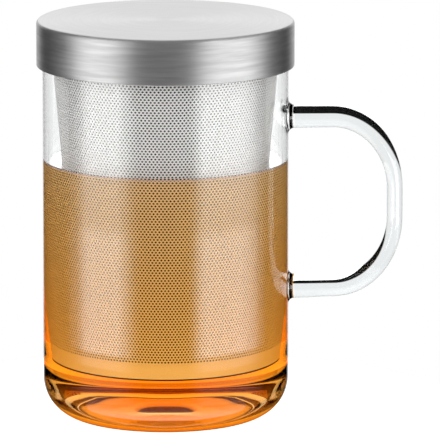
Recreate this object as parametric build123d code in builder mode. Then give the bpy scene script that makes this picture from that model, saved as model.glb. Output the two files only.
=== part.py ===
from build123d import *
import math
import os

# Glass tea mug with a lift-out steel infuser and a lift-off steel lid.
# Millimetres, +Z up. The origin is on the mug's axis, on the surface it stands on.
# The handle points along +X.

# ---- glass body ---------------------------------------------------------------
glass_outer_r = 42.5
glass_wall = 2.0
glass_height = 131.0
base_thickness = 5.3
base_outer_round = 14.2
base_inner_round_reach = 21.0
base_inner_round_rise = 15.5
base_dimple_r = 12.5
base_dimple_depth = 0.8

# ---- glass handle, a drawn rod fused to the body at both ends ------------------
handle_rim_drop = 25.8
handle_span = 59.6
handle_reach = 36.7
handle_corner_reach = 21.2
handle_top_corner_drop = 25.2
handle_bottom_corner_rise = 24.4
handle_width = 10.5
handle_top_root_thickness = 8.0
handle_top_bend_thickness = 7.6
handle_back_thickness = 5.5
handle_bottom_bend_thickness = 7.2
handle_bottom_root_thickness = 8.3
handle_root_flare = 2.0
handle_root_bury = 1.6

# ---- infuser, rolled sheet with a drawn floor and a flanged collar -------------
infuser_sheet = 0.4
infuser_side_gap = 1.0
infuser_foot_gap = 13.2
infuser_floor_r = 29.3
infuser_floor_flange = 4.0
infuser_floor_round = 0.9
collar_sheet = 0.6
collar_depth = 6.0
collar_overhang = 0.3

# ---- lid, a drawn cap closed from below by a pan with a sealing ring ------------
lid_sheet = 0.8
lid_side_gap = 1.2
lid_crown_rise = 8.0
lid_skirt_drop = 7.8
lid_edge_round = 1.3
lid_hem_thickness = 0.6
lid_hem_height = 1.6
liner_sheet = 0.5
liner_spigot_depth = 5.6
liner_corner_round = 0.4
seal_running_gap = 0.3
seal_reach = 1.6
seal_body_thickness = 0.8
seal_height = 3.2
seal_lip_height = 1.0

# ---- sizes that follow from the ones above --------------------------------------
glass_inner_r = glass_outer_r - glass_wall
rim_round = 0.49 * glass_wall

handle_top_z = glass_height - handle_rim_drop
handle_low_z = handle_top_z - handle_span
handle_back_x = glass_outer_r + handle_reach
handle_bend_x = handle_back_x - handle_corner_reach
handle_start_x = glass_outer_r - handle_root_bury

infuser_top_r = glass_inner_r - infuser_side_gap
infuser_base_z = base_thickness + infuser_foot_gap
infuser_taper = (infuser_top_r - infuser_floor_r) / (glass_height - infuser_base_z)

collar_top_z = glass_height + collar_sheet
collar_bottom_z = glass_height - collar_depth
collar_flange_r = glass_outer_r + collar_overhang

lid_top_z = glass_height + lid_crown_rise
lid_bottom_z = glass_height - lid_skirt_drop
lid_inner_r = glass_outer_r + lid_side_gap
lid_outer_r = lid_inner_r + lid_sheet


def infuser_outer_r(z):
    """Outer radius of the tapered infuser wall at height z."""
    return infuser_top_r - infuser_taper * (glass_height - z)


def infuser_inner_r(z):
    """Inner radius of the tapered infuser wall at height z."""
    return infuser_outer_r(z) - infuser_sheet


spigot_r = infuser_inner_r(collar_bottom_z) - collar_sheet - seal_running_gap - seal_reach
spigot_floor_z = collar_top_z - liner_spigot_depth
seal_bottom_z = collar_top_z - (liner_spigot_depth + seal_height) / 2


def round_corner(sketch, corner, radius):
    """Round the corner of a half section that lies nearest to (radius, height)."""
    nearest = sketch.vertices().sort_by_distance(Vector(corner[0], corner[1]))[0]
    fillet(nearest, radius=radius)


# ---- glass body -------------------------------------------------------------------
# The inner corner above the base is a flat ellipse, and the floor has a shallow dimple
# in the middle that runs out smoothly.
quarter_turn = 90
inner_corner_r = glass_inner_r - base_inner_round_reach
inner_corner_z = base_thickness + base_inner_round_rise
dimple_floor_z = base_thickness - base_dimple_depth

with BuildPart() as glass_body:
    with BuildSketch(Plane.XZ) as body_section:
        with BuildLine():
            Polyline(
                (0, dimple_floor_z),
                (0, 0),
                (glass_outer_r, 0),
                (glass_outer_r, glass_height),
                (glass_inner_r, glass_height),
                (glass_inner_r, inner_corner_z),
            )
            EllipticalCenterArc(
                (inner_corner_r, inner_corner_z),
                base_inner_round_reach,
                base_inner_round_rise,
                start_angle=0,
                arc_size=-quarter_turn,
            )
            Line((inner_corner_r, base_thickness), (base_dimple_r, base_thickness))
            Bezier(
                (base_dimple_r, base_thickness),
                (base_dimple_r * 2 / 3, base_thickness),
                (base_dimple_r / 3, dimple_floor_z),
                (0, dimple_floor_z),
            )
        make_face()
        round_corner(body_section, (glass_outer_r, 0), base_outer_round)
        round_corner(body_section, (glass_outer_r, glass_height), rim_round)
        round_corner(body_section, (glass_inner_r, glass_height), rim_round)
    revolve(axis=Axis.Z)

# ---- glass handle -------------------------------------------------------------------
with BuildLine(Plane.XZ) as handle_path:
    top_arm = Line((handle_start_x, handle_top_z), (handle_bend_x, handle_top_z))
    top_corner = EllipticalCenterArc(
        (handle_bend_x, handle_top_z - handle_top_corner_drop),
        handle_corner_reach,
        handle_top_corner_drop,
        start_angle=quarter_turn,
        arc_size=-quarter_turn,
    )
    back = Line(
        (handle_back_x, handle_top_z - handle_top_corner_drop),
        (handle_back_x, handle_low_z + handle_bottom_corner_rise),
    )
    bottom_corner = EllipticalCenterArc(
        (handle_bend_x, handle_low_z + handle_bottom_corner_rise),
        handle_corner_reach,
        handle_bottom_corner_rise,
        start_angle=0,
        arc_size=-quarter_turn,
    )
    bottom_arm = Line((handle_bend_x, handle_low_z), (handle_start_x, handle_low_z))

# Where along the rod each section stands, and how thick the rod is there.
handle_stations = [
    (top_arm, 0, handle_top_root_thickness),
    (top_arm, 1, handle_top_bend_thickness),
    (back, 0, handle_back_thickness),
    (back, 1, handle_back_thickness),
    (bottom_arm, 0, handle_bottom_bend_thickness),
    (bottom_arm, 1, handle_bottom_root_thickness),
]
flare_angles = [0, 25, 50, 75]

with BuildPart() as glass_handle:
    for edge, along, thickness in handle_stations:
        with BuildSketch(Plane(origin=edge @ along, x_dir=(0, 1, 0), z_dir=edge % along)):
            Ellipse(handle_width / 2, thickness / 2)
    sweep(path=handle_path.wire(), multisection=True)
    # Each root spreads onto the body in a trumpet of quarter-round profile.
    for root_z, thickness in (
        (handle_top_z, handle_top_root_thickness),
        (handle_low_z, handle_bottom_root_thickness),
    ):
        with BuildSketch(Plane((handle_start_x, 0, root_z), x_dir=(0, 1, 0), z_dir=(1, 0, 0))):
            Ellipse(handle_width / 2 + handle_root_flare, thickness / 2 + handle_root_flare)
        for angle in flare_angles:
            out = handle_root_flare * (1 - math.cos(math.radians(angle)))
            spread = handle_root_flare * (1 - math.sin(math.radians(angle)))
            flare_plane = Plane((glass_outer_r + out, 0, root_z), x_dir=(0, 1, 0), z_dir=(1, 0, 0))
            with BuildSketch(flare_plane):
                Ellipse(handle_width / 2 + spread, thickness / 2 + spread)
        loft(ruled=True)
    # The roots end on the outside of the body.
    Cylinder(
        glass_outer_r,
        glass_height,
        align=(Align.CENTER, Align.CENTER, Align.MIN),
        mode=Mode.SUBTRACT,
    )

# ---- infuser wall --------------------------------------------------------------------
with BuildPart() as infuser_screen:
    with BuildSketch(Plane.XZ):
        Polygon(
            (infuser_inner_r(infuser_base_z), infuser_base_z),
            (infuser_outer_r(infuser_base_z), infuser_base_z),
            (infuser_outer_r(glass_height), glass_height),
            (infuser_inner_r(glass_height), glass_height),
        )
    revolve(axis=Axis.Z)

# ---- infuser floor, a shallow pan welded inside the foot of the wall -------------------
floor_flange_top_z = infuser_base_z + infuser_floor_flange
floor_inside_z = infuser_base_z + infuser_sheet

with BuildPart() as infuser_floor:
    with BuildSketch(Plane.XZ) as floor_section:
        Polygon(
            (0, infuser_base_z),
            (infuser_inner_r(infuser_base_z), infuser_base_z),
            (infuser_inner_r(floor_flange_top_z), floor_flange_top_z),
            (infuser_inner_r(floor_flange_top_z) - infuser_sheet, floor_flange_top_z),
            (infuser_inner_r(floor_inside_z) - infuser_sheet, floor_inside_z),
            (0, floor_inside_z),
        )
        round_corner(
            floor_section,
            (infuser_inner_r(infuser_base_z), infuser_base_z),
            infuser_floor_round,
        )
        round_corner(
            floor_section,
            (infuser_inner_r(floor_inside_z) - infuser_sheet, floor_inside_z),
            infuser_floor_round - infuser_sheet / 2,
        )
    revolve(axis=Axis.Z)

# ---- infuser collar, its flange rests on the rim of the glass -----------------------------
with BuildPart() as infuser_collar:
    with BuildSketch(Plane.XZ) as collar_section:
        Polygon(
            (infuser_inner_r(collar_bottom_z), collar_bottom_z),
            (infuser_inner_r(glass_height), glass_height),
            (collar_flange_r, glass_height),
            (collar_flange_r, collar_top_z),
            (infuser_inner_r(collar_top_z) - collar_sheet, collar_top_z),
            (infuser_inner_r(collar_bottom_z) - collar_sheet, collar_bottom_z),
        )
        for edge_z in (glass_height, collar_top_z):
            round_corner(collar_section, (collar_flange_r, edge_z), 0.45 * collar_sheet)
        round_corner(
            collar_section,
            (infuser_inner_r(collar_top_z) - collar_sheet, collar_top_z),
            collar_sheet,
        )
    revolve(axis=Axis.Z)

# ---- lid cap ---------------------------------------------------------------------------------
hem_inner_r = lid_inner_r - lid_hem_thickness
hem_top_z = lid_bottom_z + lid_hem_height

with BuildPart() as lid_cap:
    with BuildSketch(Plane.XZ) as cap_section:
        Polygon(
            (0, lid_top_z - lid_sheet),
            (lid_inner_r, lid_top_z - lid_sheet),
            (lid_inner_r, hem_top_z),
            (hem_inner_r, hem_top_z),
            (hem_inner_r, lid_bottom_z),
            (lid_outer_r, lid_bottom_z),
            (lid_outer_r, lid_top_z),
            (0, lid_top_z),
        )
        round_corner(cap_section, (lid_outer_r, lid_top_z), lid_edge_round)
        round_corner(cap_section, (lid_inner_r, lid_top_z - lid_sheet), lid_edge_round - lid_sheet / 2)
        for edge_r in (hem_inner_r, lid_outer_r):
            round_corner(cap_section, (edge_r, lid_bottom_z), 0.6 * lid_hem_thickness)
    revolve(axis=Axis.Z)

# ---- lid liner, a pan that closes the cap from below and drops into the collar -----------------
with BuildPart() as lid_liner:
    with BuildSketch(Plane.XZ) as liner_section:
        Polygon(
            (0, spigot_floor_z),
            (spigot_r, spigot_floor_z),
            (spigot_r, collar_top_z),
            (lid_inner_r, collar_top_z),
            (lid_inner_r, collar_top_z + liner_sheet),
            (spigot_r - liner_sheet, collar_top_z + liner_sheet),
            (spigot_r - liner_sheet, spigot_floor_z + liner_sheet),
            (0, spigot_floor_z + liner_sheet),
        )
        round_corner(liner_section, (spigot_r, spigot_floor_z), liner_corner_round)
    revolve(axis=Axis.Z)

# ---- silicone ring with two lips around the liner's spigot ---------------------------------------
seal_top_z = seal_bottom_z + seal_height
seal_back_r = spigot_r + seal_body_thickness
seal_lip_r = spigot_r + seal_reach

with BuildPart() as lid_seal:
    with BuildSketch(Plane.XZ):
        Polygon(
            (spigot_r, seal_bottom_z),
            (seal_back_r, seal_bottom_z),
            (seal_lip_r, seal_bottom_z + seal_lip_height / 2),
            (seal_back_r, seal_bottom_z + seal_lip_height),
            (seal_back_r, seal_top_z - seal_lip_height),
            (seal_lip_r, seal_top_z - seal_lip_height / 2),
            (seal_back_r, seal_top_z),
            (spigot_r, seal_top_z),
        )
    revolve(axis=Axis.Z)

# ---- one file for each piece ---------------------------------------------------------------------
pieces = {
    "glass_body": glass_body,
    "glass_handle": glass_handle,
    "infuser_screen": infuser_screen,
    "infuser_floor": infuser_floor,
    "infuser_collar": infuser_collar,
    "lid_cap": lid_cap,
    "lid_liner": lid_liner,
    "lid_seal": lid_seal,
}

os.makedirs("parts", exist_ok=True)
for name, piece in pieces.items():
    piece.part.label = name
    export_step(piece.part, f"parts/{name}.step")
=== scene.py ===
import math
from collections import namedtuple

import bpy
import numpy as np
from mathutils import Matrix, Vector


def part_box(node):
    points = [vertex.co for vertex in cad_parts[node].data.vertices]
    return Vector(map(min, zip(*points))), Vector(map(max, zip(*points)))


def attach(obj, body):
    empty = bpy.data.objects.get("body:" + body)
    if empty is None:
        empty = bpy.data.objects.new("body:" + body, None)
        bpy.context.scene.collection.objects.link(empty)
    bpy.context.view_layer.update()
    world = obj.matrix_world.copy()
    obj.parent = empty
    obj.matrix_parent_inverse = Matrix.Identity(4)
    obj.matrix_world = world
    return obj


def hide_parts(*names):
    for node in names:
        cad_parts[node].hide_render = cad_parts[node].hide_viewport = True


bl_info = {
    "name": "Glass infuser mug",
    "version": (1, 0, 0),
    "blender": (4, 5, 0),
    "location": "View3D > Sidebar > Mug",
    "description": "Dresses the packed mug: glass, tea, perforated steel, brushed lid and a studio",
    "category": "Object",
}

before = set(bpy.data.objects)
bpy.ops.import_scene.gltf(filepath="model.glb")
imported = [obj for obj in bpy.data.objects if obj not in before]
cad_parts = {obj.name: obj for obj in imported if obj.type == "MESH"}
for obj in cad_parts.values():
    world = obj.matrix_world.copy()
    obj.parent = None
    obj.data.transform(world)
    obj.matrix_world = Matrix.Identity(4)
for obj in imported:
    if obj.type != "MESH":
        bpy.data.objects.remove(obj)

MM = 0.001
FULL_TURN = 2 * math.pi
GLASS_IOR = 1.47
TEA_IOR = 1.333

# A point this far short of a corner holds the shading of the flat beside it.
HOLD = 0.3 * MM
# From the edge of the infuser's floor pan out to the outside of the wall.
FLOOR_SETBACK = 0.4 * MM
# Shares of the infuser's sheet: the perforated part, and where the dark liner behind it starts. That liner
# is painted shade that darkens the holes.
PERFORATED_SHARE = 0.7
SHADE_LINER_START = 0.8
# The perforated wall is modelled in bands, named from the foot upwards.
BANDS = "abcd"
# Faces round the turned pieces of steel and silicone.
PAN_FACES = 128
RING_FACES = 160
CAP_FACES = 256
# Rings along each stretch of the handle's rod.
ROOT_RINGS = 8
ARM_RINGS = 8
BEND_RINGS = 24
UPRIGHT_RINGS = 4
# Materials of the beaker's faces after the first, which is the dry glass.
WETTED, ROD = 1, 2

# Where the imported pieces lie, as lowest and highest corners.
BODY_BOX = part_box("glass_body")
HANDLE_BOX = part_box("glass_handle")
SCREEN_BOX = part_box("infuser_screen")
FLOOR_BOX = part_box("infuser_floor")
COLLAR_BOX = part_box("infuser_collar")
CAP_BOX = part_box("lid_cap")
LINER_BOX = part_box("lid_liner")
SEAL_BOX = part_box("lid_seal")


# ---- sizes and colours a user would change ------------------------------------------


def length(name, description, default):
    """A length in metres."""
    return bpy.props.FloatProperty(
        name=name, description=description, default=default, min=0.0, unit="LENGTH", precision=5
    )


def share(name, description, default):
    """A share from 0 to 1."""
    return bpy.props.FloatProperty(
        name=name, description=description, default=default, min=0.0, max=1.0, subtype="FACTOR"
    )


def strength(name, description, default):
    """A brightness, where 1 is the white of the backdrop."""
    return bpy.props.FloatProperty(name=name, description=description, default=default, min=0.0)


def count(name, description, default):
    """A whole number of repeats."""
    return bpy.props.IntProperty(name=name, description=description, default=default, min=1)


def colour(name, description, default):
    """A linear colour."""
    return bpy.props.FloatVectorProperty(
        name=name, description=description, default=default, size=3, min=0.0, max=1.0, subtype="COLOR"
    )


class GlassSizes(bpy.types.PropertyGroup):
    """Beaker and handle."""

    outer_radius: length("Outer radius", "Outside of the beaker", BODY_BOX[1].x)
    height: length("Height", "Rim of the beaker above the table", BODY_BOX[1].z)
    wall: length("Wall", "Thickness of the beaker's wall", 2.0 * MM)
    base: length("Base", "Thickness of the beaker's base", 5.3 * MM)
    foot_round: length("Foot round", "Radius of the outer corner at the foot", 14.2 * MM)
    floor_reach: length("Floor round reach", "Width of the inner corner above the base", 21.0 * MM)
    floor_rise: length("Floor round rise", "Height of the inner corner above the base", 15.5 * MM)
    dimple_radius: length("Dimple radius", "Radius of the dimple in the inside floor", 12.5 * MM)
    dimple_depth: length("Dimple depth", "Depth of that dimple", 0.8 * MM)
    tint: colour("Tint", "Colour of the glass", (0.985, 0.992, 0.992))
    rod_tint: colour("Rod tint", "Colour of the handle's thicker glass", (0.87, 0.895, 0.9))
    segments: count("Segments", "Faces round the beaker", 192)


class HandleSizes(bpy.types.PropertyGroup):
    """The rod that makes the handle."""

    span: length("Span", "Between the middles of the two arms", 59.6 * MM)
    corner_reach: length("Corner reach", "How far the bends run away from the beaker", 21.2 * MM)
    top_corner_drop: length("Top corner drop", "Height of the upper bend", 25.2 * MM)
    low_corner_rise: length("Low corner rise", "Height of the lower bend", 24.4 * MM)
    width: length("Width", "Across the rod, seen from the side", 9.4 * MM)
    top_root: length("Top root", "Rod thickness at the upper root", 8.0 * MM)
    top_bend: length("Top bend", "Rod thickness where the upper bend starts", 7.6 * MM)
    back: length("Back", "Rod thickness at the upright", 5.5 * MM)
    low_bend: length("Low bend", "Rod thickness where the lower bend ends", 7.2 * MM)
    low_root: length("Low root", "Rod thickness at the lower root", 8.3 * MM)
    flare: length("Flare", "Radius of the glass run out onto the beaker", 2.0 * MM)
    ring_vertices: count("Ring vertices", "Vertices round the rod", 48)


class TeaSettings(bpy.types.PropertyGroup):
    """What the mug holds."""

    level: length("Level", "Surface of the tea above the table", 89.7 * MM)
    meniscus: length("Meniscus", "Height of the tea's climb up the glass", 0.9 * MM)
    skin: length("Skin", "Room kept between the tea's body and the faces round it", 0.01 * MM)
    tint: colour("Tint", "Colour of a thin film of the tea", (1.0, 0.79, 0.7))
    let_through: colour("Colour", "Colour that the tea lets through", (0.985, 0.73, 0.0))
    density: strength("Strength", "Absorption for each metre", 84.0)


class InfuserSizes(bpy.types.PropertyGroup):
    """Perforated wall and floor, and the collar."""

    sheet: length("Sheet", "Thickness of the wall and floor", 0.4 * MM)
    holes_around: count("Holes around", "Holes in each row round the wall", 178)
    rows: count("Rows", "Rows of holes up the wall", 108)
    low_border: length("Low border", "Plain sheet below the holes", 6.6 * MM)
    high_border: length("High border", "Plain sheet above the holes", 9.2 * MM)
    hole: length("Hole", "Width of a hole", 0.78 * MM)
    # Height of a near-black band round the foot of the wall: painted shade for its shaded lower edge.
    weld: length("Weld", "Height of the dark weld round the foot", 0.6 * MM)
    collar_sheet: length("Collar sheet", "Thickness of the collar", 0.6 * MM)
    steel: colour("Steel", "Colour of the infuser's steel", (0.87, 0.85, 0.83))
    # Near-black colour of painted shade, on the liner seen through the holes and on the band round the foot.
    screen: colour("Screen", "Colour of the fine screen behind the holes", (0.014, 0.013, 0.012))


class LidSizes(bpy.types.PropertyGroup):
    """Cap, liner and seal."""

    sheet: length("Sheet", "Thickness of the cap", 0.8 * MM)
    edge_round: length("Edge round", "Radius of the cap's top edge", 1.3 * MM)
    hem: length("Hem", "Extra thickness of the cap's folded lower edge", 0.6 * MM)
    hem_height: length("Hem height", "Height of the folded lower edge", 1.6 * MM)
    liner_sheet: length("Liner sheet", "Thickness of the liner", 0.5 * MM)
    liner_spigot: length("Liner spigot", "Depth of the liner below its flange", 5.6 * MM)
    seal_body: length("Seal body", "Thickness of the seal behind its lips", 0.8 * MM)
    steel: colour("Steel", "Colour of the brushed skirt", (0.54, 0.54, 0.54))
    # The top is the same steel as the skirt, painted lighter for the brighter light that it reflects. Its
    # spun finish is real.
    top_steel_painted_lighter: colour("Top steel", "Colour of the spun top", (0.72, 0.72, 0.72))
    silicone: colour("Silicone", "Colour of the seal", (0.82, 0.83, 0.83))


class StudioSettings(bpy.types.PropertyGroup):
    """Camera, floor and light."""

    camera_distance: length("Camera distance", "From the mug's axis to the camera", 2.643)
    camera_height: length("Camera height", "Camera above the table", 0.562)
    aim_x: length("Aim across", "Point of the mug's middle plane in the middle of the picture", 18.8 * MM)
    aim_z: length("Aim height", "Height of that point above the table", 68.7 * MM)
    lens: bpy.props.FloatProperty(name="Lens", description="Focal length in millimetres", default=635.8)
    floor_radius: length("Floor radius", "Radius of the pale table", 0.108)
    air_gap: length("Air gap", "Between the glass foot and the table", 0.3 * MM)
    box_strength: strength("Soft boxes", "Brightness of the soft boxes", 6.0)
    box_spill: share("Spill", "Share of the soft boxes' light that matt surfaces get", 0.4)
    box_distance: length("Box distance", "From the mug to the soft boxes", 0.8)
    box_bottom: bpy.props.FloatProperty(
        name="Box bottom", description="Lower edge of the soft boxes", default=-0.127, unit="LENGTH"
    )
    box_top: length("Box top", "Upper edge of the soft boxes", 0.2)
    overhead: strength("Overhead", "Brightness of the light from above", 0.4)
    tent: strength("Tent", "Brightness of the light from the front on matt surfaces", 2.1)
    room_light: strength("Room light", "Brightness of the dim room in front", 0.28)
    side_light: strength("Side light", "Brightness of the room at the sides, through the glass", 1.3)
    tea_glow: strength("Tea glow", "Extra light on the backdrop for the tea and the base", 0.38)
    floor: colour("Floor", "Colour of the table", (0.86, 0.86, 0.86))


# ---- modelling helpers ----------------------------------------------------------------


def deselect_all():
    """Leave nothing selected, so that an operator acts on the new piece only."""
    bpy.ops.object.select_all(action="DESELECT")


def oval(centre, reach, rise, start, end, steps):
    """(radius, height) points of an elliptical corner, from start to end degrees, 0 being outwards."""
    angles = [math.radians(start + (end - start) * i / steps) for i in range(steps + 1)]
    return [(centre[0] + reach * math.cos(a), centre[1] + rise * math.sin(a)) for a in angles]


def arc(centre, radius, start, end, steps):
    """(radius, height) points of a round corner."""
    return oval(centre, radius, radius, start, end, steps)


def run(start, end, steps):
    """Points between start and end, without either, that split a long straight run."""
    return [tuple(a + (b - a) * i / steps for a, b in zip(start, end)) for i in range(1, steps)]


def single_point(name):
    """A new piece in edit mode that is one vertex at the origin."""
    deselect_all()
    bpy.ops.mesh.primitive_plane_add(size=MM)
    piece = bpy.context.object
    piece.name = piece.data.name = name
    bpy.ops.object.mode_set(mode="EDIT")
    bpy.ops.mesh.merge(type="CENTER")
    return piece


def lathe(name, outline, segments):
    """Draw an outline of (radius, height) points and spin it about Z into a closed piece."""
    piece = single_point(name)
    here = (0.0, 0.0)
    for i, (radius, height) in enumerate(outline):
        step = (radius - here[0], 0, height - here[1])
        if i == 0:
            bpy.ops.transform.translate(value=step)
        else:
            bpy.ops.mesh.extrude_vertices_move(TRANSFORM_OT_translate={"value": step})
        here = (radius, height)
    bpy.ops.mesh.select_all(action="SELECT")
    bpy.ops.mesh.remove_doubles(threshold=0.001 * MM)
    bpy.ops.mesh.spin(steps=segments, angle=FULL_TURN, center=(0, 0, 0), axis=(0, 0, 1))
    bpy.ops.mesh.select_all(action="SELECT")
    bpy.ops.mesh.remove_doubles(threshold=0.001 * MM)
    bpy.ops.mesh.normals_make_consistent(inside=False)
    bpy.ops.object.mode_set(mode="OBJECT")
    return piece


def smooth(piece, degrees):
    """Shade a piece smooth, with edges sharper than the given angle kept crisp."""
    deselect_all()
    piece.select_set(True)
    bpy.context.view_layer.objects.active = piece
    bpy.ops.object.shade_smooth_by_angle(angle=math.radians(degrees))


def apply_modifier(piece, kind, **settings):
    """Add one modifier, set it and apply it."""
    deselect_all()
    piece.select_set(True)
    bpy.context.view_layer.objects.active = piece
    modifier = piece.modifiers.new(kind.title(), kind)
    for key, value in settings.items():
        setattr(modifier, key, value)
    bpy.ops.object.modifier_apply(modifier=modifier.name)


def settle(piece, body, slot, material, *nodes):
    """Give a finished piece its material and body, and hide the nodes that it stands for. The slot is not
    used.
    """
    piece.data.materials.clear()
    piece.data.materials.append(material)
    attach(piece, body)
    if nodes:
        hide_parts(*nodes)


# ---- material helpers -------------------------------------------------------------------


def new_material(name):
    """A node material and its Principled shader."""
    material = bpy.data.materials.new(name)
    material.use_nodes = True
    return material, material.node_tree.nodes["Principled BSDF"]


def node(tree, kind, **settings):
    """Add a node and set its own settings."""
    made = tree.nodes.new(kind)
    for key, value in settings.items():
        setattr(made, key, value)
    return made


def feed(tree, value, socket):
    """Give a socket its value, which is another socket or a number."""
    if isinstance(value, (int, float)):
        socket.default_value = value
    else:
        tree.links.new(value, socket)


def maths(tree, operation, first, second=None):
    """The result of a Math node on one or two values."""
    made = node(tree, "ShaderNodeMath", operation=operation)
    feed(tree, first, made.inputs[0])
    if second is not None:
        feed(tree, second, made.inputs[1])
    return made.outputs[0]


def blend(tree, share_of_second, first, second):
    """A value between two others."""
    made = node(tree, "ShaderNodeMix", data_type="FLOAT")
    feed(tree, share_of_second, made.inputs["Factor"])
    feed(tree, first, made.inputs["A"])
    feed(tree, second, made.inputs["B"])
    return made.outputs["Result"]


def ramp(tree, value, stops, tint=(1, 1, 1)):
    """A ramp through (position, brightness) stops, in shades of one colour."""
    made = node(tree, "ShaderNodeValToRGB")
    elements = made.color_ramp.elements
    while len(elements) < len(stops):
        elements.new(0.5)
    for element, (position, bright) in zip(elements, stops):
        element.position = position
        element.color = (*(part * bright for part in tint), 1)
    tree.links.new(value, made.inputs["Fac"])
    return made.outputs["Color"]


def axes(tree, kind):
    """The x, y and z of a Texture Coordinate output."""
    place = node(tree, "ShaderNodeTexCoord")
    split = node(tree, "ShaderNodeSeparateXYZ")
    tree.links.new(place.outputs[kind], split.inputs[0])
    return split.outputs


def camera_turn(tree, across, away):
    """Turn about the mug's axis from the camera's side, in radians, positive to the right."""
    return maths(tree, "ARCTAN2", across, maths(tree, "MULTIPLY", away, -1.0))


def after_matt(tree, path):
    """1 for a ray that has left a matt surface, and 0 for any other."""
    return maths(tree, "MINIMUM", path.outputs["Diffuse Depth"], 1.0)


# ---- materials ------------------------------------------------------------------------------


def clear(name, ior, tint=(1, 1, 1)):
    """Glass or liquid, bending light by the given ratio to what lies against it."""
    material, shader = new_material(name)
    shader.inputs["Base Color"].default_value = (*tint, 1)
    shader.inputs["Roughness"].default_value = 0.0
    shader.inputs["IOR"].default_value = ior
    shader.inputs["Transmission Weight"].default_value = 1.0
    return material


def brewed_tea(tea):
    """The tea's body: an amber absorption that deepens with thickness.

    Light is bent by the tea's surface and by the wetted glass, so not again here.
    """
    material = clear("brewed_tea", 1.0, tea.tint)
    tree = material.node_tree
    absorption = node(tree, "ShaderNodeVolumeAbsorption")
    absorption.inputs["Color"].default_value = (*tea.let_through, 1)
    absorption.inputs["Density"].default_value = tea.density
    tree.links.new(absorption.outputs[0], tree.nodes["Material Output"].inputs["Volume"])
    return material


def solid_finish(name, tint, metallic, roughness):
    """An opaque material with one colour and one roughness."""
    material, shader = new_material(name)
    shader.inputs["Base Color"].default_value = (*tint, 1)
    shader.inputs["Metallic"].default_value = metallic
    shader.inputs["Roughness"].default_value = roughness
    return material


def infuser_steel(tint):
    """Etched stainless sheet with a soft satin sheen, shared by the infuser's pieces."""
    if "satin_steel" in bpy.data.materials:
        return bpy.data.materials["satin_steel"]
    return solid_finish("satin_steel", tint, metallic=0.15, roughness=0.5)


def painted_shade_steel(name, tint):
    """Near-black matt finish of painted shade, for the liner behind the perforated wall and for the band
    round its foot.
    """
    return solid_finish(name, tint, metallic=0.3, roughness=0.6)


def brushed_steel(name, tint, roughness, anisotropy, streak):
    """Brushed stainless steel, with its lines running round the axis; streak is how much they vary."""
    material, shader = new_material(name)
    tree = material.node_tree
    shader.inputs["Metallic"].default_value = 1.0
    shader.inputs["Roughness"].default_value = roughness
    shader.inputs["Anisotropic"].default_value = anisotropy
    shader.inputs["Anisotropic Rotation"].default_value = 0.25
    tangent = node(tree, "ShaderNodeTangent", direction_type="RADIAL", axis="Z")
    tree.links.new(tangent.outputs[0], shader.inputs["Tangent"])
    # Long fine streaks: quick changes outwards and upwards, slow ones round the axis.
    slow, quick = 60.0, 900.0
    x, y, z = axes(tree, "Object")
    squares = maths(tree, "ADD", maths(tree, "MULTIPLY", x, x), maths(tree, "MULTIPLY", y, y))
    outwards = maths(tree, "SQRT", squares)
    streaks = node(tree, "ShaderNodeCombineXYZ")
    tree.links.new(maths(tree, "MULTIPLY", x, slow), streaks.inputs["X"])
    tree.links.new(maths(tree, "MULTIPLY", y, slow), streaks.inputs["Y"])
    tree.links.new(maths(tree, "MULTIPLY", maths(tree, "ADD", z, outwards), quick), streaks.inputs["Z"])
    noise = node(tree, "ShaderNodeTexNoise")
    noise.inputs["Scale"].default_value = 1.0
    noise.inputs["Detail"].default_value = 3.0
    tree.links.new(streaks.outputs[0], noise.inputs["Vector"])
    shades = ramp(tree, noise.outputs["Fac"], [(0.3, 1 - streak), (0.7, 1 + streak)], tint)
    tree.links.new(shades, shader.inputs["Base Color"])
    return material


def silicone(tint):
    """Matt whitish silicone."""
    return solid_finish("matt_silicone", tint, metallic=0.0, roughness=0.5)


# ---- pieces -----------------------------------------------------------------------------------


def beaker_outline(glass, wetted):
    """Outline of the beaker from the middle of its underside over the rim to its inner floor.

    wetted is the height up to which liquid touches the inside.
    """
    outer, inner = glass.outer_radius, glass.outer_radius - glass.wall
    rim, foot = glass.wall / 2, glass.foot_round
    rim_z = glass.height - rim
    outline = [(0, 0), (outer - foot - HOLD, 0)]
    outline += arc((outer - foot, foot), foot, -90, 0, 24)
    outline += run((outer, foot), (outer, rim_z), 46)
    outline += arc((outer - rim, rim_z), rim, 0, 180, 12)
    outline += run((inner, rim_z), (inner, wetted), 4)
    outline += [(inner, wetted)]
    outline += run((inner, wetted), (inner, glass.base + glass.floor_rise), 8)
    return outline + inside_floor(glass, inner, glass.base)[::-1]


def inside_floor(glass, side_radius, height):
    """The beaker's inside floor at the given height, from the middle of its dimple up to the wall."""
    steps = 20
    outline = []
    for i in range(steps + 1):
        out = i / steps
        depth = glass.dimple_depth * (1 - 3 * out ** 2 + 2 * out ** 3)
        outline.append((glass.dimple_radius * out, height - depth))
    corner = (side_radius - glass.floor_reach, height + glass.floor_rise)
    outline.append((corner[0] - HOLD, height))
    return outline + oval(corner, glass.floor_reach, glass.floor_rise, -90, 0, 40)


def eased(start, end, share_along):
    """A value between two others that leaves and arrives gently."""
    return start + (end - start) * (0.5 - 0.5 * math.cos(math.pi * share_along))


# One ring of the handle's rod. Its lean is that of the rod there, from outwards towards downwards, spread is
# how much wider it is sideways, and curve is how much of the beaker's curve it takes on.
Ring = namedtuple("Ring", "x z lean thickness spread curve", defaults=(0.0, 0.0))


def root_rings(glass, handle, root_z, thickness, lean):
    """Rings from inside the beaker's wall outwards, which run a root of the rod out onto the beaker."""
    outside = glass.outer_radius
    widest = 2 * handle.flare
    rings = [Ring(outside - glass.wall / 2, root_z, lean, thickness + widest, widest, 1)]
    for i in range(ROOT_RINGS + 1):
        turn = math.pi / 2 * i / ROOT_RINGS
        out = handle.flare * (1 - math.cos(turn))
        spread = widest * (1 - math.sin(turn))
        rings.append(Ring(outside + out, root_z, lean, thickness + spread, spread, 1 - i / ROOT_RINGS))
    return rings


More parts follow.
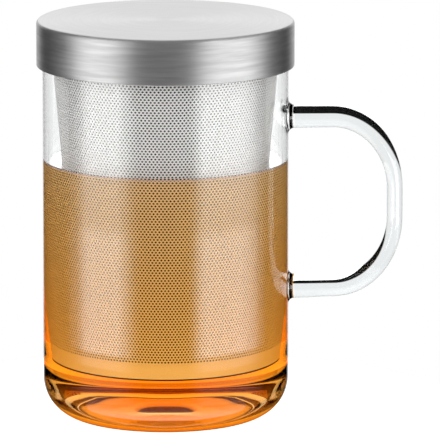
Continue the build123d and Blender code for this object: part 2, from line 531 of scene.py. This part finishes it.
def handle_rings(glass, handle):
    """The rings of the rod, from its upper root round to its lower one."""
    top_z = HANDLE_BOX[1].z - handle.flare - handle.top_root / 2
    low_z = top_z - handle.span
    back_x = HANDLE_BOX[1].x - handle.back / 2
    bend_x = back_x - handle.corner_reach
    start_x = glass.outer_radius + handle.flare
    top_centre = top_z - handle.top_corner_drop
    low_centre = low_z + handle.low_corner_rise

    def arm(from_x, to_x, z, lean, first, last):
        for i in range(1, ARM_RINGS + 1):
            at = i / ARM_RINGS
            yield Ring(from_x + (to_x - from_x) * at, z, lean, eased(first, last, at))

    def bend(from_angle, centre_z, rise, first, last):
        for i in range(1, BEND_RINGS + 1):
            angle = from_angle - math.pi / 2 * i / BEND_RINGS
            x = bend_x + handle.corner_reach * math.cos(angle)
            z = centre_z + rise * math.sin(angle)
            lean = math.atan2(rise * math.cos(angle), handle.corner_reach * math.sin(angle))
            yield Ring(x, z, lean, eased(first, last, i / BEND_RINGS))

    rings = root_rings(glass, handle, top_z, handle.top_root, 0.0)
    rings += arm(start_x, bend_x, top_z, 0.0, handle.top_root, handle.top_bend)
    rings += bend(math.pi / 2, top_centre, handle.top_corner_drop, handle.top_bend, handle.back)
    for i in range(1, UPRIGHT_RINGS + 1):
        z = top_centre + (low_centre - top_centre) * i / UPRIGHT_RINGS
        rings.append(Ring(back_x, z, math.pi / 2, handle.back))
    rings += bend(0.0, low_centre, handle.low_corner_rise, handle.back, handle.low_bend)
    rings += arm(bend_x, start_x, low_z, math.pi, handle.low_bend, handle.low_root)
    # The last root ring is where the lower arm already ends.
    low_root = root_rings(glass, handle, low_z, handle.low_root, math.pi)[:-1]
    return rings + low_root[::-1]


def model_handle(glass, handle):
    """The rod, ring by ring, with both roots laid on the beaker's curve."""
    deselect_all()
    bpy.ops.mesh.primitive_circle_add(vertices=handle.ring_vertices, radius=1.0)
    rod = bpy.context.object
    rod.name = "handle_rod"
    bpy.ops.object.mode_set(mode="EDIT")
    bpy.ops.mesh.delete(type="VERT")
    rings = handle_rings(glass, handle)
    for ring in rings:
        bpy.ops.mesh.primitive_circle_add(vertices=handle.ring_vertices, radius=1.0)
        bpy.ops.transform.resize(value=(ring.thickness / 2, (handle.width + ring.spread) / 2, 1))
        bpy.ops.transform.rotate(
            value=-(math.pi / 2 + ring.lean), orient_axis="Y", center_override=(0, 0, 0)
        )
        bpy.ops.transform.translate(value=(ring.x, 0, ring.z))
    bpy.ops.object.mode_set(mode="OBJECT")
    for i, vertex in enumerate(rod.data.vertices):
        inset = glass.outer_radius - math.sqrt(glass.outer_radius ** 2 - vertex.co.y ** 2)
        vertex.co.x -= rings[i // handle.ring_vertices].curve * inset
    bpy.ops.object.mode_set(mode="EDIT")
    bpy.ops.mesh.select_all(action="SELECT")
    bpy.ops.mesh.bridge_edge_loops(type="SINGLE")
    bpy.ops.mesh.select_all(action="DESELECT")
    bpy.ops.mesh.select_non_manifold()
    bpy.ops.mesh.edge_face_add()
    bpy.ops.mesh.select_all(action="SELECT")
    bpy.ops.mesh.normals_make_consistent(inside=False)
    bpy.ops.object.mode_set(mode="OBJECT")
    return rod


def colour_beaker(beaker, glass, handle, wetted):
    """Tell the rod's thicker glass and the faces that the tea wets from the dry glass."""
    beaker.data.materials.append(clear("wetted_glass", GLASS_IOR / TEA_IOR, glass.tint))
    beaker.data.materials.append(clear("rod_glass", GLASS_IOR, glass.rod_tint))
    near = 0.1 * MM
    inner = glass.outer_radius - glass.wall + near
    for face in beaker.data.polygons:
        place, normal = face.center, face.normal
        if place.x > glass.outer_radius + handle.flare:
            face.material_index = ROD
        in_tea = math.hypot(place.x, place.y) < inner and place.z < wetted
        side = place.z > glass.base - near and place.x * normal.x + place.y * normal.y <= 0
        if in_tea and (side or normal.z > 0.9):
            face.material_index = WETTED


class MUG_OT_glass(bpy.types.Operator):
    """Turn the beaker and fuse its rod handle on"""

    bl_idname = "mug.glass"
    bl_label = "Glass"

    def execute(self, context):
        glass, handle = context.scene.mug_glass, context.scene.mug_handle
        tea = context.scene.mug_tea
        wetted = tea.level + tea.meniscus
        beaker = lathe("glass_beaker", beaker_outline(glass, wetted), glass.segments)
        rod = model_handle(glass, handle)
        apply_modifier(beaker, "BOOLEAN", operation="UNION", solver="EXACT", object=rod)
        bpy.data.objects.remove(rod)
        smooth(beaker, 50)
        dry = clear("clear_glass", GLASS_IOR, glass.tint)
        settle(beaker, "mug", "glass", dry, "glass_body", "glass_handle")
        colour_beaker(beaker, glass, handle, wetted)
        return {"FINISHED"}


def tea_top(tea, radius, level):
    """The tea's surface from its climb up the glass to the middle."""
    climb = tea.meniscus
    outline = arc((radius - climb, level + climb), climb, 0, -90, 8)
    return outline + [(radius - climb - HOLD, level), (0, level)]


class MUG_OT_tea(bpy.types.Operator):
    """Fill the beaker with tea up to its level"""

    bl_idname = "mug.tea"
    bl_label = "Tea"

    def execute(self, context):
        glass, tea = context.scene.mug_glass, context.scene.mug_tea
        radius = glass.outer_radius - glass.wall - tea.skin
        floor = glass.base + tea.skin
        outline = inside_floor(glass, radius, floor)
        outline += run((radius, floor + glass.floor_rise), (radius, tea.level + tea.meniscus), 12)
        outline += tea_top(tea, radius, tea.level)
        piece = lathe("tea", outline, glass.segments)
        smooth(piece, 50)
        settle(piece, "mug", "glass", brewed_tea(tea))
        surface = lathe("tea_surface", tea_top(tea, radius, tea.level + tea.skin), glass.segments)
        smooth(surface, 50)
        settle(surface, "mug", "glass", clear("tea_surface", TEA_IOR))
        return {"FINISHED"}


# A staggered lattice of holes: how many go round, their pitch, the gap between rows and their width.
Lattice = namedtuple("Lattice", "around pitch row_gap hole")


def hole_cell(lattice):
    """One six-sided cell of a lattice, with its hole still filled."""
    deselect_all()
    bpy.ops.mesh.primitive_circle_add(vertices=6, radius=1.0, fill_type="NGON")
    piece = bpy.context.object
    bpy.ops.object.mode_set(mode="EDIT")
    bpy.ops.transform.resize(value=(lattice.pitch / math.sqrt(3), lattice.row_gap * 2 / 3, 1))
    bpy.ops.mesh.inset(thickness=lattice.hole * 0.1)
    bpy.ops.object.mode_set(mode="OBJECT")
    mesh = piece.data
    filled = next(face for face in mesh.polygons if len(face.vertices) == 6)
    for index in filled.vertices:
        vertex = mesh.vertices[index]
        vertex.co = vertex.co.normalized() * lattice.hole / 2
    return piece


def repeat(piece, times, step):
    """Repeat a flat piece along a step and merge the copies where they meet."""
    apply_modifier(piece, "ARRAY", count=times, use_relative_offset=False, use_constant_offset=True,
                   constant_offset_displace=step, use_merge_vertices=True, merge_threshold=0.002 * MM)


def coordinates(piece):
    """The places of a piece's vertices, as an array."""
    flat = np.empty(len(piece.data.vertices) * 3)
    piece.data.vertices.foreach_get("co", flat)
    return flat.reshape(-1, 3)


def open_holes(piece):
    """Delete the six-sided faces that fill the holes."""
    mesh = piece.data
    sides = np.empty(len(mesh.polygons), int)
    mesh.polygons.foreach_get("loop_total", sides)
    mesh.vertices.foreach_set("select", np.zeros(len(mesh.vertices), bool))
    mesh.edges.foreach_set("select", np.zeros(len(mesh.edges), bool))
    mesh.polygons.foreach_set("select", sides == 6)
    bpy.context.tool_settings.mesh_select_mode = (False, False, True)
    bpy.ops.object.mode_set(mode="EDIT")
    bpy.ops.mesh.delete(type="ONLY_FACE")
    bpy.context.tool_settings.mesh_select_mode = (True, False, False)
    bpy.ops.object.mode_set(mode="OBJECT")


def perforated_band(name, lattice, first_row, rows, borders, place):
    """A band of staggered holes rolled up by place(turn, height), with a plain strip on request.

    borders are the heights to which plain sheet runs on below and above, or None. place takes
    shares of a turn and heights as arrays.
    """
    pitch, row_gap = lattice.pitch, lattice.row_gap
    piece = hole_cell(lattice)
    piece.name = piece.data.name = name
    bpy.ops.object.mode_set(mode="EDIT")
    bpy.ops.mesh.select_all(action="SELECT")
    bpy.ops.transform.translate(value=(first_row * pitch / 2, first_row * row_gap, 0))
    bpy.ops.object.mode_set(mode="OBJECT")
    repeat(piece, lattice.around, (pitch, 0, 0))
    repeat(piece, rows, (pitch / 2, row_gap, 0))
    last_row = first_row + rows - 1
    for row, side, border in ((first_row, -1, borders[0]), (last_row, 1, borders[1])):
        if border is not None:
            tip = (row + side * 2 / 3) * row_gap
            notch = (row + side * 1 / 3) * row_gap
            add_border(piece, tip, notch, border)
    open_holes(piece)
    roll(piece, lattice.around * pitch, place)
    return piece


def add_border(piece, tip, notch, border):
    """Straighten the notched edge of a flat band and carry it on as plain sheet to border."""
    mesh = piece.data
    ys = coordinates(piece)[:, 1]
    ends = np.empty(len(mesh.edges) * 2, int)
    mesh.edges.foreach_get("vertices", ends)
    ends = ys[ends.reshape(-1, 2)]
    near = 0.01 * MM
    edge = (abs(ends.max(1) - max(tip, notch)) < near) & (abs(ends.min(1) - min(tip, notch)) < near)
    mesh.vertices.foreach_set("select", np.zeros(len(mesh.vertices), bool))
    mesh.polygons.foreach_set("select", np.zeros(len(mesh.polygons), bool))
    mesh.edges.foreach_set("select", edge)
    bpy.context.tool_settings.mesh_select_mode = (False, True, False)
    bpy.ops.object.mode_set(mode="EDIT")
    straight = tip + (tip - notch) * 0.5
    bpy.ops.mesh.extrude_edges_move(TRANSFORM_OT_translate={"value": (0, straight - tip, 0)})
    bpy.ops.transform.resize(value=(1, 0, 1), center_override=(0, straight, 0))
    bpy.ops.mesh.extrude_edges_move(TRANSFORM_OT_translate={"value": (0, border - straight, 0)})
    bpy.context.tool_settings.mesh_select_mode = (True, False, False)
    bpy.ops.object.mode_set(mode="OBJECT")


def roll(piece, girth, place):
    """Roll a flat band up by its place function and close its seam."""
    flat = coordinates(piece)
    rolled = place(flat[:, 0] / girth, flat[:, 1])
    piece.data.vertices.foreach_set("co", np.ascontiguousarray(rolled, float).ravel())
    bpy.ops.object.mode_set(mode="EDIT")
    bpy.ops.mesh.select_all(action="SELECT")
    bpy.ops.mesh.remove_doubles(threshold=0.01 * MM)
    bpy.ops.object.mode_set(mode="OBJECT")
    piece.data.update()


def wall_radius(height):
    """Outer radius of the tapered infuser wall at a height."""
    top_radius, top_z = SCREEN_BOX[1].x, SCREEN_BOX[1].z
    foot_radius, foot_z = FLOOR_BOX[1].x + FLOOR_SETBACK, FLOOR_BOX[1].z
    slope = (top_radius - foot_radius) / (top_z - foot_z)
    return top_radius - slope * (top_z - height)


def wall_sheet(name, low, high, outside, inside, segments):
    """A plain sheet that follows the tapered wall, with its faces set in from it by outside and inside."""
    outline = [(wall_radius(low) - outside, low), (wall_radius(high) - outside, high)]
    outline += [(wall_radius(high) - inside, high), (wall_radius(low) - inside, low)]
    return lathe(name, outline + [outline[0]], segments)


class MUG_OT_infuser_wall(bpy.types.Operator):
    """Perforate the infuser's tapered wall, and paint shade on a band round its foot and on a liner behind
    its holes
    """

    bl_idname = "mug.infuser_wall"
    bl_label = "Infuser wall"

    def execute(self, context):
        infuser = context.scene.mug_infuser
        steel = infuser_steel(infuser.steel)
        around, sheet = infuser.holes_around, infuser.sheet
        low, high = SCREEN_BOX[0].z, SCREEN_BOX[1].z
        foot = low + infuser.weld
        first, last = low + infuser.low_border, high - infuser.high_border
        row_gap = (last - first) / (infuser.rows - 1)
        pitch = FULL_TURN * wall_radius((first + last) / 2) / around
        lattice = Lattice(around, pitch, row_gap, infuser.hole)

        def place(turn, height):
            radius = wall_radius(first + height)
            angle = FULL_TURN * turn
            return np.stack([radius * np.sin(angle), -radius * np.cos(angle), first + height], 1)

        thin = sheet * PERFORATED_SHARE
        each = infuser.rows // len(BANDS)
        for i, band in enumerate(BANDS):
            is_first, is_last = i == 0, i == len(BANDS) - 1
            borders = (foot - first if is_first else None, high - first if is_last else None)
            rows = infuser.rows - i * each if is_last else each
            piece = perforated_band(f"infuser_wall_{band}", lattice, each * i, rows, borders, place)
            apply_modifier(piece, "SOLIDIFY", thickness=thin, offset=-1.0)
            settle(piece, "infuser", "infuser_steel", steel, "infuser_screen")
        # A near-black band round the foot: painted shade for the wall's shaded lower edge.
        weld = wall_sheet("infuser_foot_shade_band", low, foot, 0, thin, around)
        dark = painted_shade_steel("foot_painted_shade", infuser.screen)
        settle(weld, "infuser", "infuser_steel", dark, "infuser_screen")
        # A near-black liner just inside the wall: painted shade that darkens the holes. Its inward faces
        # keep the infuser's steel.
        screen = wall_sheet("infuser_painted_shade_liner", low, high, sheet * SHADE_LINER_START, sheet, around)
        smooth(screen, 40)
        dark = painted_shade_steel("painted_shade_liner", infuser.screen)
        settle(screen, "infuser", "infuser_steel", dark, "infuser_screen")
        screen.data.materials.append(steel)
        for face in screen.data.polygons:
            inward = face.center.x * face.normal.x + face.center.y * face.normal.y < 0
            face.material_index = 1 if inward else 0
        return {"FINISHED"}


class MUG_OT_infuser_floor(bpy.types.Operator):
    """Turn the infuser's floor pan"""

    bl_idname = "mug.infuser_floor"
    bl_label = "Infuser floor"

    def execute(self, context):
        infuser = context.scene.mug_infuser
        low, high = FLOOR_BOX
        sheet = infuser.sheet
        bottom_r = wall_radius(low.z) - sheet
        top_r = wall_radius(high.z) - sheet
        corner = 0.9 * MM
        outline = [(0, low.z), (bottom_r - corner, low.z)]
        outline += arc((bottom_r - corner, low.z + corner), corner, -90, 0, 6)[1:]
        outline += [(top_r, high.z), (top_r - sheet, high.z)]
        outline += arc((bottom_r - corner, low.z + corner), corner - sheet, 0, -90, 6)
        outline += [(0, low.z + sheet)]
        piece = lathe("infuser_floor_pan", outline, PAN_FACES)
        smooth(piece, 40)
        settle(piece, "infuser", "infuser_steel", infuser_steel(infuser.steel), "infuser_floor")
        return {"FINISHED"}


class MUG_OT_infuser_collar(bpy.types.Operator):
    """Turn the flanged collar that hangs on the glass rim"""

    bl_idname = "mug.infuser_collar"
    bl_label = "Infuser collar"

    def execute(self, context):
        infuser = context.scene.mug_infuser
        low, high = COLLAR_BOX
        sheet = infuser.collar_sheet
        wall = infuser.sheet
        rim_z = high.z - sheet
        lip = 0.45 * sheet
        outline = [(wall_radius(low.z) - wall, low.z), (wall_radius(rim_z) - wall, rim_z)]
        outline += arc((high.x - lip, rim_z + lip), lip, -90, 0, 4)
        outline += arc((high.x - lip, high.z - lip), lip, 0, 90, 4)
        inner = wall_radius(high.z) - wall - sheet
        outline += arc((inner + sheet, high.z - sheet), sheet, 90, 180, 6)
        outline += [(wall_radius(low.z) - wall - sheet, low.z), outline[0]]
        piece = lathe("infuser_hanging_collar", outline, RING_FACES)
        smooth(piece, 40)
        settle(piece, "infuser", "infuser_steel", infuser_steel(infuser.steel), "infuser_collar")
        return {"FINISHED"}


class MUG_OT_lid_cap(bpy.types.Operator):
    """Spin the lid's cap with its rounded edge and folded hem"""

    bl_idname = "mug.lid_cap"
    bl_label = "Lid cap"

    def execute(self, context):
        lid = context.scene.mug_lid
        low, high = CAP_BOX
        outer, inner = high.x, high.x - lid.sheet
        edge = lid.edge_round
        inner_edge = edge - lid.sheet / 2
        hem_r = inner - lid.hem
        lip = 0.36 * MM
        hold = 0.2 * MM
        outline = [(0, high.z - lid.sheet), (inner - inner_edge - hold, high.z - lid.sheet)]
        outline += arc((inner - inner_edge, high.z - lid.sheet - inner_edge), inner_edge, 90, 0, 6)
        outline += [(inner, low.z + lid.hem_height), (hem_r, low.z + lid.hem_height)]
        outline += arc((hem_r + lip, low.z + lip), lip, 180, 270, 5)
        outline += arc((outer - lip, low.z + lip), lip, -90, 0, 5)
        outline += [(outer, low.z + lip + hold), (outer, high.z - edge - hold)]
        outline += arc((outer - edge, high.z - edge), edge, 0, 90, 12)
        outline += [(outer - edge - hold, high.z), (0, high.z)]
        piece = lathe("lid_spun_cap", outline, CAP_FACES)
        smooth(piece, 45)
        skirt = brushed_steel("lid_skirt_steel", lid.steel, 0.5, 0.8, 0.14)
        # Faces that face up or down take the same steel painted lighter, which stands in for the brighter
        # light on the top, with their own spun finish.
        top = brushed_steel("lid_top_steel_painted_lighter", lid.top_steel_painted_lighter, 0.4, 0.5, 0.03)
        settle(piece, "lid", "lid_steel", skirt, "lid_cap")
        piece.data.materials.append(top)
        for face in piece.data.polygons:
            face.material_index = 1 if abs(face.normal.z) > 0.8 else 0
        return {"FINISHED"}


class MUG_OT_lid_liner(bpy.types.Operator):
    """Press the liner and put the seal round its spigot"""

    bl_idname = "mug.lid_liner"
    bl_label = "Lid liner and seal"

    def execute(self, context):
        lid = context.scene.mug_lid
        low, high = LINER_BOX
        sheet = lid.liner_sheet
        flange_z = low.z + lid.liner_spigot
        seal_low, seal_high = SEAL_BOX
        seal_width = 1.6 * MM
        spigot = seal_high.x - seal_width
        corner = 0.4 * MM
        outline = [(0, low.z), (spigot - corner, low.z)]
        outline += arc((spigot - corner, low.z + corner), corner, -90, 0, 6)[1:]
        outline += [(spigot, flange_z), (high.x, flange_z), (high.x, high.z)]
        outline += [(spigot - sheet, high.z), (spigot - sheet, low.z + sheet), (0, low.z + sheet)]
        piece = lathe("lid_pressed_liner", outline, RING_FACES)
        smooth(piece, 40)
        liner_steel = brushed_steel("lid_liner_steel", lid.steel, 0.4, 0.5, 0.05)
        settle(piece, "lid", "lid_steel", liner_steel, "lid_liner")
        lip_r, back_r = seal_high.x, spigot + lid.seal_body
        lip = 1.0 * MM
        outline = [(spigot, seal_low.z), (back_r, seal_low.z), (lip_r, seal_low.z + lip / 2),
                   (back_r, seal_low.z + lip), (back_r, seal_high.z - lip),
                   (lip_r, seal_high.z - lip / 2), (back_r, seal_high.z), (spigot, seal_high.z),
                   (spigot, seal_low.z)]
        seal = lathe("lid_lipped_seal", outline, RING_FACES)
        smooth(seal, 50)
        settle(seal, "lid", "silicone", silicone(lid.silicone), "lid_seal")
        return {"FINISHED"}


# ---- stage ---------------------------------------------------------------------------------------


# How bright the soft boxes are, by their turn from the camera's side in degrees.
BOX_ENDS = (
    (-104, 0), (-90, 0.2), (-85, 0.43), (-81, 0.72), (-76, 0.9), (-71, 1),
    (-44, 1), (-40, 0.72), (-36, 0.55), (-32, 0.3), (-28, 0.12), (-22, 0),
    (20, 0), (25, 0.13), (28.5, 0.4), (32.5, 0.73), (36, 0.95), (39, 1),
    (72, 1), (80, 0.85), (85, 0.68), (91, 0.48), (96, 0.22), (107, 0),
)
# The same by height above their lower edge, in millimetres.
BOX_EDGE = ((-7.5, 0.1), (-6.5, 0.38), (-1, 0.38), (0, 1.07), (52, 1.07), (58, 0.74))
# Where each of them starts and ends, by its turn.
SOFT_BOXES = {"left_soft_box": (-104, -22), "right_soft_box": (20, 110)}
# A ray has crossed more faces than this once it is out of the tea, the base or the far wall.
PLAIN_CROSSINGS = 3.5


def studio_world(studio):
    """The room that the mug stands in, as each kind of ray sees it.

    A white backdrop stands behind, a dim room in front, a soft light above and nothing below. Matt
    surfaces also get a light from the front. The camera itself sees white all round, as on a cut-out.
    """
    world = bpy.data.worlds.new("studio")
    world.use_nodes = True
    tree = world.node_tree
    across, away, up = axes(tree, "Generated")
    turn = maths(tree, "DIVIDE", maths(tree, "ABSOLUTE", camera_turn(tree, across, away)), math.pi)
    rise = maths(tree, "ADD", maths(tree, "DIVIDE", maths(tree, "ARCSINE", up), math.pi), 0.5)

    def at_turn(stops):
        return ramp(tree, turn, [(degrees / 180, bright) for degrees, bright in stops])

    def at_rise(stops):
        return ramp(tree, rise, [(0.5 + degrees / 180, bright) for degrees, bright in stops])

    def times(first, second):
        return maths(tree, "MULTIPLY", first, second)

    def brighter(first, second):
        return maths(tree, "MAXIMUM", first, second)

    path = node(tree, "ShaderNodeLightPath")
    crossings = path.outputs["Transmission Depth"]
    inside = maths(tree, "MINIMUM", crossings, 1.0)
    gleam = times(path.outputs["Is Singular Ray"], maths(tree, "SUBTRACT", 1.0, inside))
    deep = maths(tree, "GREATER_THAN", crossings, PLAIN_CROSSINGS)
    glow = times(at_rise([(0, 0), (6, studio.tea_glow)]), deep)
    above_gap = maths(tree, "ADD", at_rise([(-17, 0), (-15, 1), (0, 1), (8, 1.1)]), glow)
    overhead = at_rise([(40, 0), (60, studio.overhead)])

    # The backdrop and the room in steel, through glass and as a gleam on the outside of glass.
    dim, side, corner = studio.room_light, studio.side_light, 0.15
    backdrop = times(at_turn([(146, 0), (154, 1)]), above_gap)
    room = at_turn([(100, dim), (115, corner), (150, 0)])
    in_steel = brighter(brighter(backdrop, room), overhead)
    backdrop = times(at_turn([(128, 0), (140, 1)]), above_gap)
    room = at_turn([(96, dim), (112, side), (135, side), (140, 0)])
    through = brighter(brighter(backdrop, room), overhead)
    on_glass = times(at_turn([(160, 0), (170, 1)]), at_rise([(-17, 0), (-15, 1), (12, 1), (20, 0)]))
    light = blend(tree, inside, blend(tree, gleam, in_steel, on_glass), through)

    front = at_turn([(30, studio.tent), (85, studio.tent / 2)])
    light = brighter(light, times(front, after_matt(tree, path)))
    seen = blend(tree, path.outputs["Is Camera Ray"], light, 1.0)
    background = tree.nodes["Background"]
    tree.links.new(seen, background.inputs["Strength"])
    background.inputs["Color"].default_value = (1, 1, 1, 1)
    bpy.context.scene.world = world


def box_light(studio):
    """The glow of the soft boxes, which fades towards their ends and below their lower edge."""
    material = bpy.data.materials.new("soft_box")
    material.use_nodes = True
    tree = material.node_tree
    tree.nodes.remove(tree.nodes["Principled BSDF"])
    across, away, up = axes(tree, "Object")
    below, span = 10, 100
    height = node(tree, "ShaderNodeMapRange")
    height.inputs["From Min"].default_value = studio.box_bottom - below * MM
    height.inputs["From Max"].default_value = studio.box_bottom + (span - below) * MM
    tree.links.new(up, height.inputs["Value"])
    stops = [((rise + below) / span, bright) for rise, bright in BOX_EDGE]
    edge = ramp(tree, height.outputs["Result"], stops)
    turn = maths(tree, "DIVIDE", camera_turn(tree, across, away), FULL_TURN)
    turn = maths(tree, "ADD", turn, 0.5)
    ends = ramp(tree, turn, [(0.5 + degrees / 360, bright) for degrees, bright in BOX_ENDS])
    glow = maths(tree, "MULTIPLY", edge, ends)
    # Matt surfaces get most of their light from the room in front instead.
    path = node(tree, "ShaderNodeLightPath")
    spill = blend(tree, after_matt(tree, path), 1.0, studio.box_spill)
    glow = maths(tree, "MULTIPLY", glow, spill)
    light = node(tree, "ShaderNodeEmission")
    tree.links.new(maths(tree, "MULTIPLY", glow, studio.box_strength), light.inputs["Strength"])
    tree.links.new(light.outputs[0], tree.nodes["Material Output"].inputs["Surface"])
    return material


def soft_box(name, studio, light, from_turn, to_turn):
    """A bright upright panel, curved round the mug between two turns from the camera's side."""
    start = math.radians(from_turn)
    place = (studio.box_distance * math.sin(start), -studio.box_distance * math.cos(start))
    low = 2 * studio.box_bottom - studio.box_top
    panel = single_point(name)
    bpy.ops.transform.translate(value=(*place, low))
    bpy.ops.mesh.extrude_vertices_move(
        TRANSFORM_OT_translate={"value": (0, 0, studio.box_top - low)}
    )
    bpy.ops.mesh.select_all(action="SELECT")
    bpy.ops.mesh.spin(
        steps=24, angle=math.radians(from_turn - to_turn), center=(0, 0, 0), axis=(0, 0, 1)
    )
    bpy.ops.object.mode_set(mode="OBJECT")
    panel.data.materials.append(light)
    panel.visible_camera = False


def pale_floor(tint):
    """The table: pale and matt, and white to the camera and through glass."""
    material = solid_finish("pale_floor", tint, metallic=0.0, roughness=0.7)
    tree = material.node_tree
    shader = tree.nodes["Principled BSDF"]
    brightness = 0.9
    path = node(tree, "ShaderNodeLightPath")
    lift = maths(tree, "MAXIMUM", path.outputs["Is Camera Ray"], path.outputs["Is Transmission Ray"])
    tree.links.new(maths(tree, "MULTIPLY", lift, brightness), shader.inputs["Emission Strength"])
    shader.inputs["Emission Color"].default_value = (1, 1, 1, 1)
    return material


class MUG_OT_stage(bpy.types.Operator):
    """Set up the table, the studio light and the camera"""

    bl_idname = "mug.stage"
    bl_label = "Studio"

    def execute(self, context):
        studio = context.scene.mug_studio
        scene = context.scene
        scene.view_settings.view_transform = "Standard"
        deselect_all()
        bpy.ops.mesh.primitive_circle_add(vertices=128, radius=studio.floor_radius, fill_type="NGON")
        floor = context.object
        floor.name = "table"
        floor.location.z = -studio.air_gap
        floor.visible_glossy = False
        floor.data.materials.append(pale_floor(studio.floor))
        studio_world(studio)
        light = box_light(studio)
        for name, turns in SOFT_BOXES.items():
            soft_box(name, studio, light, *turns)
        pitch = math.atan2(studio.camera_height - studio.aim_z, studio.camera_distance)
        bpy.ops.object.camera_add(
            location=(studio.aim_x, -studio.camera_distance, studio.camera_height),
            rotation=(math.pi / 2 - pitch, 0, 0),
        )
        camera = context.object
        camera.data.lens = studio.lens
        camera.data.clip_start = 0.1
        camera.data.clip_end = 20.0
        scene.camera = camera
        return {"FINISHED"}


# ---- panel and registration ------------------------------------------------------------------------

BUILD_STEPS = (
    MUG_OT_stage,
    MUG_OT_glass,
    MUG_OT_tea,
    MUG_OT_infuser_wall,
    MUG_OT_infuser_floor,
    MUG_OT_infuser_collar,
    MUG_OT_lid_cap,
    MUG_OT_lid_liner,
)

SETTINGS = {
    "mug_glass": GlassSizes,
    "mug_handle": HandleSizes,
    "mug_tea": TeaSettings,
    "mug_infuser": InfuserSizes,
    "mug_lid": LidSizes,
    "mug_studio": StudioSettings,
}


class MUG_PT_panel(bpy.types.Panel):
    """Sizes, colours and steps of the mug"""

    bl_idname = "MUG_PT_panel"
    bl_label = "Mug"
    bl_space_type = "VIEW_3D"
    bl_region_type = "UI"
    bl_category = "Mug"

    def draw(self, context):
        for name in SETTINGS:
            group = getattr(context.scene, name)
            box = self.layout.box()
            for key in group.__annotations__:
                box.prop(group, key)
        for step in BUILD_STEPS:
            self.layout.operator(step.bl_idname)


def register():
    """Register the settings, the steps and the panel."""
    for name, group in SETTINGS.items():
        bpy.utils.register_class(group)
        setattr(bpy.types.Scene, name, bpy.props.PointerProperty(type=group))
    for step in BUILD_STEPS:
        bpy.utils.register_class(step)
    bpy.utils.register_class(MUG_PT_panel)


def unregister():
    """Undo register, in the other order."""
    bpy.utils.unregister_class(MUG_PT_panel)
    for step in reversed(BUILD_STEPS):
        bpy.utils.unregister_class(step)
    for name, group in reversed(SETTINGS.items()):
        delattr(bpy.types.Scene, name)
        bpy.utils.unregister_class(group)


def main():
    """Register everything and run each step to dress the mug. The imported pieces stay in the scene, hidden.
    """
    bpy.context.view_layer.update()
    register()
    for step in BUILD_STEPS:
        group, name = step.bl_idname.split(".")
        getattr(getattr(bpy.ops, group), name)()


if __name__ == "__main__":
    main()
